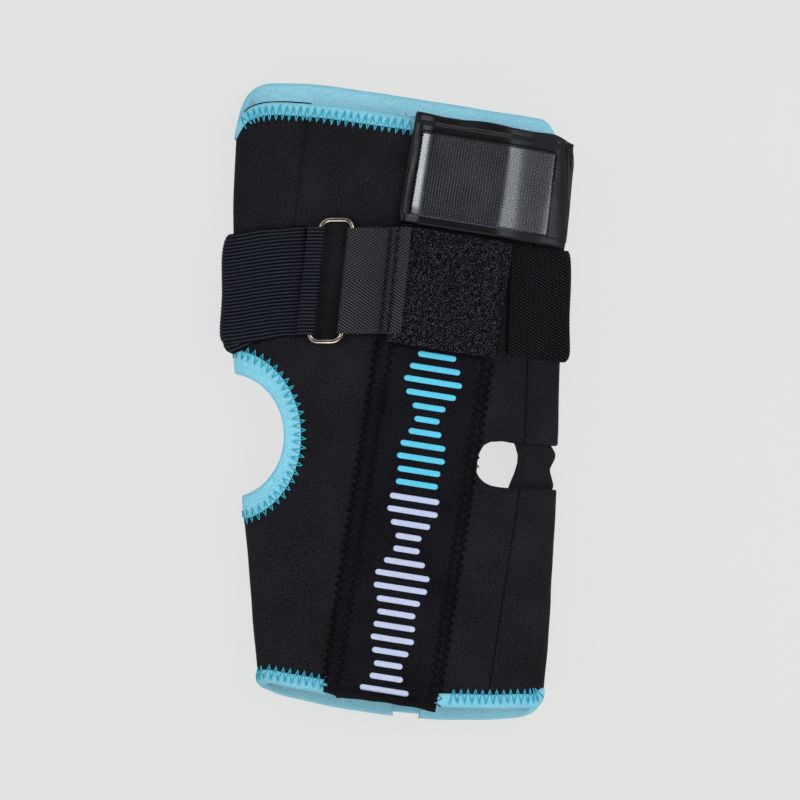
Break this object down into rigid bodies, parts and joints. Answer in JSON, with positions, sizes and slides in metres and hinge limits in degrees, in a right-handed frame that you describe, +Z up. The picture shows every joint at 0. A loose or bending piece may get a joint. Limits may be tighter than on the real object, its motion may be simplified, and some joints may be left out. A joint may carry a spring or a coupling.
{
  "type": "cold compression wrap",
  "caption": "Padded neoprene sleeve for a leg joint, with an elastic strap through a metal loop, a long front pocket, a clear window pocket, a joint cut-out and removable gel packs.",
  "frame": {"origin": "middle of the wrap's outline, on the surface it lies on", "axes": "+Y towards the top rim, +X towards the wrap's right fold seen from above, +Z up"},
  "size_m": [0.2386, 0.4311, 0.0593],
  "materials": {
    "neoprene": "matte knitted jersey face over foam",
    "binding": "soft teal stretch tape",
    "pocket_cloth": "printed knitted cloth",
    "mesh": "ribbed mesh",
    "clear_film": "clear glossy flexible film",
    "ribbed_elastic": "elastic with cross ribs",
    "woven_elastic": "dense woven elastic",
    "webbing": "twill webbing",
    "nickel_wire": "bright nickel-plated wire",
    "brushed_loop": "brushed loop pile",
    "hook_tape": "moulded hook tape",
    "lining": "smooth stretch lining",
    "gel_pack": "glossy welded film over gel",
    "pad_rubber": "matte moulded rubber",
    "motor_steel": "brushed steel can",
    "case_plastic": "fine-textured moulded plastic",
    "battery_foil": "wrapped cell",
    "board": "solder-masked board",
    "button_rubber": "soft moulded button",
    "light_guide": "clear light guide"
  },
  "bodies": {
    "sleeve": {"left_panel": "neoprene", "front_panel": "neoprene", "back_panel": "neoprene", "right_upper_panel": "neoprene", "right_lower_panel": "neoprene", "bridge_strip": "neoprene", "top_binding": "binding", "bottom_binding_left": "binding", "bottom_binding_right": "binding", "arch_binding": "binding", "pocket_panel": "pocket_cloth", "pocket_hem": "pocket_cloth", "window_mesh": "mesh", "window_film": "clear_film", "window_top_hem": "pocket_cloth", "window_bottom_tape": "pocket_cloth", "window_side_tape": "pocket_cloth", "strap_left": "ribbed_elastic", "strap_right": "woven_elastic", "webbing_tab": "webbing", "loop_base": "brushed_loop", "inner_pocket_front": "lining", "inner_pocket_back": "lining"},
    "strap_ring": {"strap_ring": "nickel_wire", "ring_loop": "ribbed_elastic"},
    "closing_tab": {"closing_tab": "brushed_loop", "hook_pad": "hook_tape"},
    "vibration_unit": {"vibration_pad": "pad_rubber", "vibration_motor_1": "motor_steel", "vibration_motor_2": "motor_steel", "vibration_motor_3": "motor_steel", "vibration_motor_4": "motor_steel", "motor_cable": "pad_rubber", "controller_base": "case_plastic", "controller_cover": "case_plastic", "battery": "battery_foil", "circuit_board": "board", "status_light": "light_guide"},
    "power_button": {"power_button": "button_rubber"},
    "cold_pack_front": {"cold_pack_front": "gel_pack"},
    "cold_pack_back": {"cold_pack_back": "gel_pack"}
  },
  "joints": [
    {"name": "closing_tab_peel", "type": "hinge", "parent": "sleeve", "child": "closing_tab", "pos_m": [0.0715, 0.06493, 0.0447], "axis": [0.1564, 0.9877, 0], "range_deg": [0, 100]},
    {"name": "ring_swing", "type": "hinge", "parent": "sleeve", "child": "strap_ring", "pos_m": [-0.0346, 0.07799, 0.04964], "axis": [0.1028, 0.9947, 0], "range_deg": [0, 25]},
    {"name": "vibration_unit_slide", "type": "slide", "parent": "sleeve", "child": "vibration_unit", "axis": [0.1564, 0.9877, 0], "range_m": [0, 0.12]},
    {"name": "power_button_press", "type": "slide", "parent": "vibration_unit", "child": "power_button", "axis": [0, 0, -1], "range_m": [0, 0.0005], "stiffness_N_per_m": 800},
    {"name": "cold_pack_front_slide", "type": "slide", "parent": "sleeve", "child": "cold_pack_front", "axis": [0, 1, 0], "range_m": [0, 0.15]},
    {"name": "cold_pack_back_slide", "type": "slide", "parent": "sleeve", "child": "cold_pack_back", "axis": [0, 1, 0], "range_m": [0, 0.15]}
  ]
}
